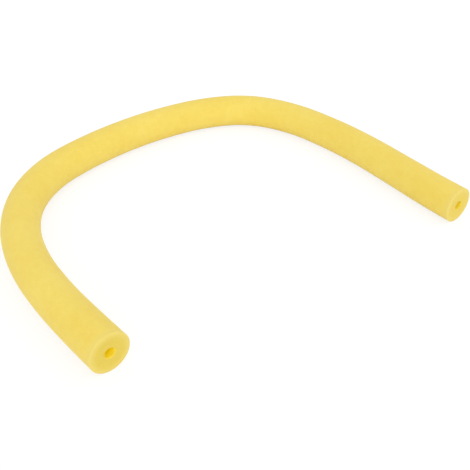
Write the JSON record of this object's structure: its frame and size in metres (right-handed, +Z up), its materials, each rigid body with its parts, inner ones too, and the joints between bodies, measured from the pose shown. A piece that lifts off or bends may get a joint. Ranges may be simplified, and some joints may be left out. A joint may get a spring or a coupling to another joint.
{
  "type": "pool noodle",
  "caption": "Soft foam pool noodle, a long round tube with a bore through it, lying in a wide U bend; it bends at hinges along its length.",
  "frame": {"origin": "on the floor under the middle of the noodle's own box, as it lies in its bend", "axes": "+Z up; the two open ends of the U point along -Y and its back is at +Y; +X runs from the left end to the right end"},
  "size_m": [0.7682, 0.6282, 0.065],
  "materials": {
    "yellow_foam": "matte"
  },
  "bodies": {
    "back_middle": {"back_middle": "yellow_foam"},
    "back_left": {"back_left": "yellow_foam"},
    "left_bend_back": {"left_bend_back": "yellow_foam"},
    "left_bend_front": {"left_bend_front": "yellow_foam"},
    "left_arm_back": {"left_arm_back": "yellow_foam"},
    "left_arm_middle": {"left_arm_middle": "yellow_foam"},
    "left_arm_front": {"left_arm_front": "yellow_foam"},
    "left_end": {"left_end": "yellow_foam"},
    "back_right": {"back_right": "yellow_foam"},
    "right_bend_back": {"right_bend_back": "yellow_foam"},
    "right_bend_middle": {"right_bend_middle": "yellow_foam"},
    "right_bend_front": {"right_bend_front": "yellow_foam"},
    "right_arm_back": {"right_arm_back": "yellow_foam"},
    "right_arm_middle": {"right_arm_middle": "yellow_foam"},
    "right_arm_front": {"right_arm_front": "yellow_foam"},
    "right_end": {"right_end": "yellow_foam"}
  },
  "joints": [
    {"name": "back_left_bend", "type": "hinge", "parent": "back_middle", "child": "back_left", "pos_m": [-0.03773, 0.27335, 0.0325], "axis": [0, 0, -1], "range_deg": [-10, 29], "stiffness_Nm_per_rad": 3.5},
    {"name": "left_bend_back_bend", "type": "hinge", "parent": "back_left", "child": "left_bend_back", "pos_m": [-0.13373, 0.25162, 0.0325], "axis": [0, 0, -1], "range_deg": [-4.25, 34.75], "stiffness_Nm_per_rad": 3.5},
    {"name": "left_bend_front_bend", "type": "hinge", "parent": "left_bend_back", "child": "left_bend_front", "pos_m": [-0.22147, 0.20788, 0.0325], "axis": [0, 0, -1], "range_deg": [-4, 41.25], "stiffness_Nm_per_rad": 3.5},
    {"name": "left_arm_back_bend", "type": "hinge", "parent": "left_bend_front", "child": "left_arm_back", "pos_m": [-0.2886, 0.13652, 0.0325], "axis": [0, 0, -1], "range_deg": [-4, 39.5], "stiffness_Nm_per_rad": 3.5},
    {"name": "left_arm_middle_bend", "type": "hinge", "parent": "left_arm_back", "child": "left_arm_middle", "pos_m": [-0.32971, 0.04734, 0.0325], "axis": [0, 0, -1], "range_deg": [-4, 35], "stiffness_Nm_per_rad": 3.5},
    {"name": "left_arm_front_bend", "type": "hinge", "parent": "left_arm_middle", "child": "left_arm_front", "pos_m": [-0.34805, -0.04926, 0.0325], "axis": [0, 0, -1], "range_deg": [-9.25, 29.75], "stiffness_Nm_per_rad": 3.5},
    {"name": "left_end_bend", "type": "hinge", "parent": "left_arm_front", "child": "left_end", "pos_m": [-0.35148, -0.14766, 0.0325], "axis": [0, 0, -1], "range_deg": [-14.25, 24.75], "stiffness_Nm_per_rad": 3.5},
    {"name": "back_right_bend", "type": "hinge", "parent": "back_middle", "child": "back_right", "pos_m": [0.06036, 0.2815, 0.0325], "axis": [0, 0, 1], "range_deg": [-9.25, 29.75], "stiffness_Nm_per_rad": 3.5},
    {"name": "right_bend_back_bend", "type": "hinge", "parent": "back_right", "child": "right_bend_back", "pos_m": [0.15851, 0.27463, 0.0325], "axis": [0, 0, 1], "range_deg": [-4, 35.25], "stiffness_Nm_per_rad": 3.5},
    {"name": "right_bend_middle_bend", "type": "hinge", "parent": "right_bend_back", "child": "right_bend_middle", "pos_m": [0.25164, 0.24392, 0.0325], "axis": [0, 0, 1], "range_deg": [-4, 48.75], "stiffness_Nm_per_rad": 3.5},
    {"name": "right_bend_front_bend", "type": "hinge", "parent": "right_bend_middle", "child": "right_bend_front", "pos_m": [0.31896, 0.17421, 0.0325], "axis": [0, 0, 1], "range_deg": [-4, 48.75], "stiffness_Nm_per_rad": 3.5},
    {"name": "right_arm_back_bend", "type": "hinge", "parent": "right_bend_front", "child": "right_arm_back", "pos_m": [0.3464, 0.08006, 0.0325], "axis": [0, 0, 1], "range_deg": [-4.75, 34.25], "stiffness_Nm_per_rad": 3.5},
    {"name": "right_arm_middle_bend", "type": "hinge", "parent": "right_arm_back", "child": "right_arm_middle", "pos_m": [0.35155, -0.01824, 0.0325], "axis": [0, 0, 1], "range_deg": [-11.5, 27.5], "stiffness_Nm_per_rad": 3.5},
    {"name": "right_arm_front_bend", "type": "hinge", "parent": "right_arm_middle", "child": "right_arm_front", "pos_m": [0.34554, -0.11652, 0.0325], "axis": [0, 0, 1], "range_deg": [-14.75, 24.25], "stiffness_Nm_per_rad": 3.5},
    {"name": "right_end_bend", "type": "hinge", "parent": "right_arm_front", "child": "right_end", "pos_m": [0.33397, -0.21433, 0.0325], "axis": [0, 0, 1], "range_deg": [-19.75, 19.25], "stiffness_Nm_per_rad": 3.5}
  ]
}
